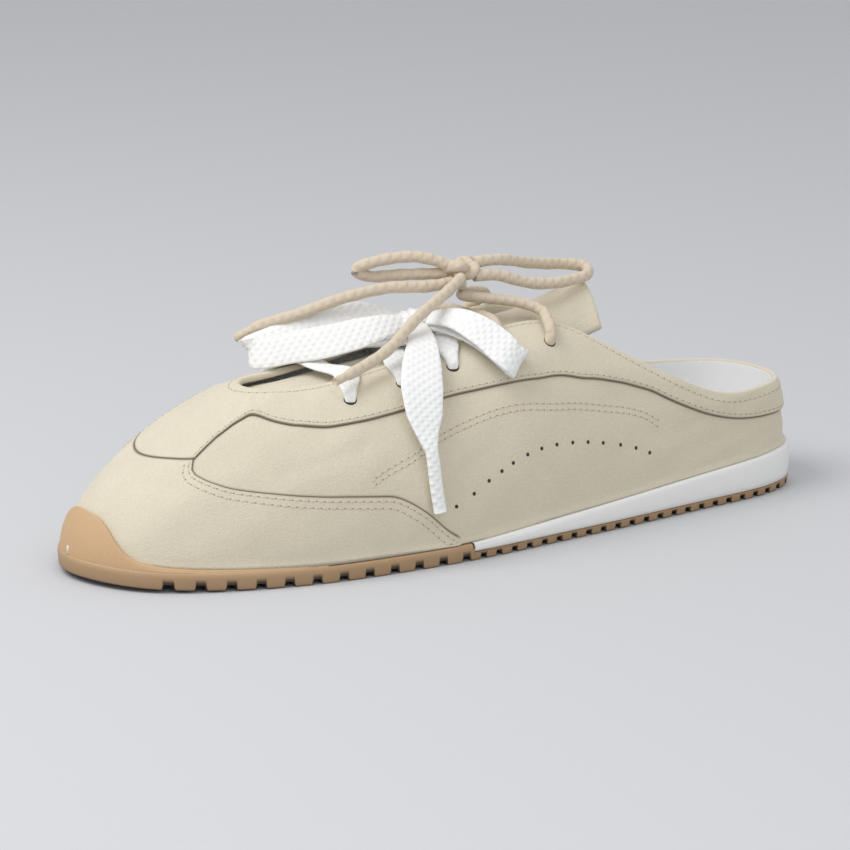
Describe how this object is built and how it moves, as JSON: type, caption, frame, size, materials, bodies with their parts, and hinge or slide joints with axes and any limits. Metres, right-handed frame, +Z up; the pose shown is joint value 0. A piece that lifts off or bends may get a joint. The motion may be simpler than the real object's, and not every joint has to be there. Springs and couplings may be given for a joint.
{
  "type": "sneaker mule",
  "caption": "Backless lace-up low sneaker: suede upper with overlays, gum outsole with toe bumper, white wedge midsole, tongue and two laces tied over each other.",
  "frame": {"origin": "on the floor under the middle of the sole's box, without the free laces", "axes": "+X from heel to toe, +Y to the outer side of this left shoe, +Z up"},
  "size_m": [0.2651, 0.0895, 0.09],
  "materials": {
    "suede": "sand suede, napped",
    "gum_rubber": "tan gum, matt",
    "white_foam": "white foam rubber, matt",
    "white_fabric": "white lining fabric",
    "white_cotton": "flat white cotton lace",
    "beige_cord": "round beige cord lace"
  },
  "bodies": {
    "root": {"outsole": "gum_rubber", "midsole": "white_foam", "insole": "white_fabric", "upper": "suede", "tongue": "suede", "white_lace_bar": "white_cotton", "white_lace_cross": "white_cotton", "white_lace_knot": "white_cotton", "white_lace_loop_front": "white_cotton", "white_lace_loop_side": "white_cotton", "white_lace_end_outer": "white_cotton", "white_lace_end_inner": "white_cotton", "beige_lace_bar": "beige_cord", "beige_lace_tie": "beige_cord", "beige_lace_knot": "beige_cord", "beige_lace_loop_front": "beige_cord", "beige_lace_loop_back": "beige_cord", "beige_lace_end_front": "beige_cord", "beige_lace_end_side": "beige_cord"}
  },
  "joints": []
}
